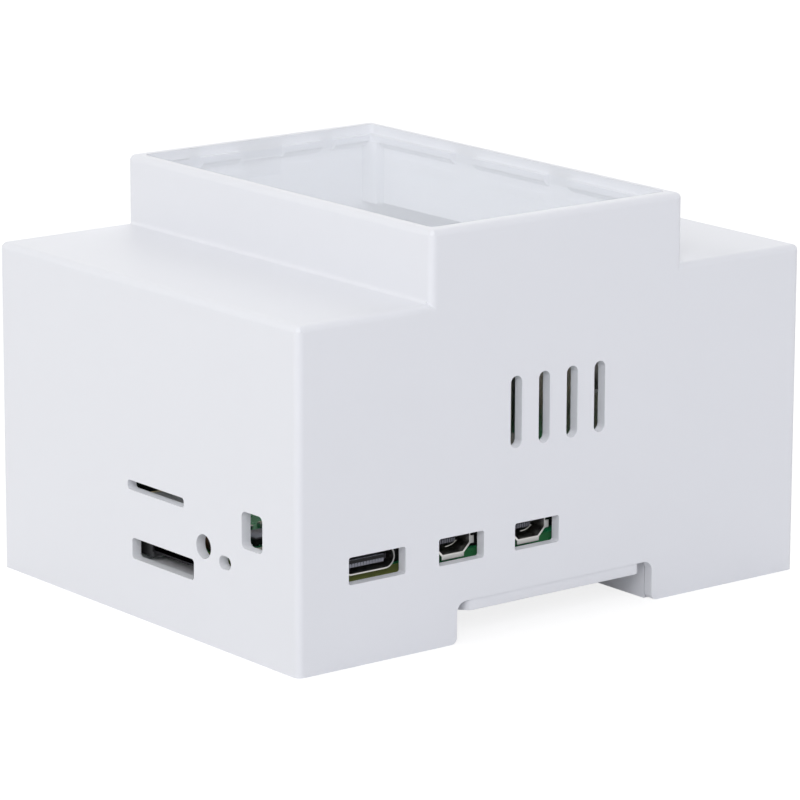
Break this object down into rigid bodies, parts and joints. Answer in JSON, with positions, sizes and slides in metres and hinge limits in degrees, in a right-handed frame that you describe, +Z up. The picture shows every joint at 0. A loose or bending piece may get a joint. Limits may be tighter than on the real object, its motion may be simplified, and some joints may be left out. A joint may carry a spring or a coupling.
{
  "type": "single-board computer case",
  "caption": "Stepped rail-mount case with a clear top window, socket cut-outs and vents, holding a single-board computer over a base with a sprung rail clip.",
  "frame": {"origin": "centre of the underside of the case", "axes": "+Z up, from the rail to the window; +X along the port face, away from the card slot; -Y out of the port face, +Y along the mounting rail"},
  "size_m": [0.09, 0.071, 0.0584],
  "materials": {
    "white_plastic": "fine satin moulding",
    "base_plastic": "fine satin moulding",
    "clip_plastic": "satin moulding",
    "clear_plastic": "polished clear",
    "spring_steel": "drawn wire",
    "screw_steel": "zinc plated",
    "board_laminate": "green solder mask",
    "nickel_sheet": "nickel plated sheet",
    "black_plastic": "satin",
    "brown_plastic": "satin",
    "status_lens": "clear resin",
    "cream_plastic": "satin",
    "gold_contact": "gold flash",
    "jack_lens": "clear resin",
    "blue_plastic": "satin",
    "chip_carrier": "solder mask",
    "processor_metal": "bead blasted lid",
    "chip_resin": "moulded resin",
    "ferrite": "pressed powder",
    "capacitor_resin": "moulded resin"
  },
  "bodies": {
    "case": {"cover_shell": "white_plastic", "window_panel": "clear_plastic", "rail_base": "base_plastic", "clip_spring": "spring_steel", "board_screws": "screw_steel", "circuit_board": "board_laminate", "power_socket_shell": "nickel_sheet", "power_socket_insert": "black_plastic", "video_socket_left_shell": "nickel_sheet", "video_socket_left_insert": "black_plastic", "video_socket_right_shell": "nickel_sheet", "video_socket_right_insert": "black_plastic", "card_socket": "nickel_sheet", "power_button_body": "brown_plastic", "status_light": "status_lens", "side_ribbon_connector": "black_plastic", "ribbon_connector_left": "black_plastic", "ribbon_connector_right": "black_plastic", "network_jack_shell": "nickel_sheet", "network_jack_insert": "black_plastic", "network_jack_contacts": "gold_contact", "network_jack_lights": "jack_lens", "data_stack_front_shell": "nickel_sheet", "data_stack_front_tongues": "blue_plastic", "data_stack_back_shell": "nickel_sheet", "data_stack_back_tongues": "black_plastic", "pin_header_body": "black_plastic", "pin_header_pins": "gold_contact", "processor_base": "chip_carrier", "processor_lid": "processor_metal", "memory_chip": "chip_resin", "io_chip": "chip_resin", "network_chip": "chip_resin", "power_chip": "chip_resin", "radio_shield": "nickel_sheet", "power_inductors": "ferrite", "board_capacitors": "capacitor_resin", "fan_connector": "cream_plastic", "battery_connector": "cream_plastic", "serial_connector": "cream_plastic", "extra_power_header": "black_plastic"},
    "rail_clip": {"rail_clip": "clip_plastic"},
    "power_button": {"power_button_plunger": "brown_plastic"},
    "side_ribbon_latch": {"side_ribbon_latch": "cream_plastic"},
    "ribbon_latch_left": {"ribbon_latch_left": "cream_plastic"},
    "ribbon_latch_right": {"ribbon_latch_right": "cream_plastic"}
  },
  "joints": [
    {"name": "rail_clip_slide", "type": "slide", "parent": "case", "child": "rail_clip", "axis": [1, 0, 0], "range_m": [0, 0.004], "stiffness_N_per_m": 500, "deforming": ["clip_spring"]},
    {"name": "power_button_press", "type": "slide", "parent": "case", "child": "power_button", "axis": [1, 0, 0], "range_m": [0, 0.00025], "stiffness_N_per_m": 600},
    {"name": "side_ribbon_latch_lift", "type": "slide", "parent": "case", "child": "side_ribbon_latch", "axis": [0, 0, 1], "range_m": [0, 0.001]},
    {"name": "ribbon_latch_left_lift", "type": "slide", "parent": "case", "child": "ribbon_latch_left", "axis": [0, 0, 1], "range_m": [0, 0.001]},
    {"name": "ribbon_latch_right_lift", "type": "slide", "parent": "case", "child": "ribbon_latch_right", "axis": [0, 0, 1], "range_m": [0, 0.001]}
  ]
}
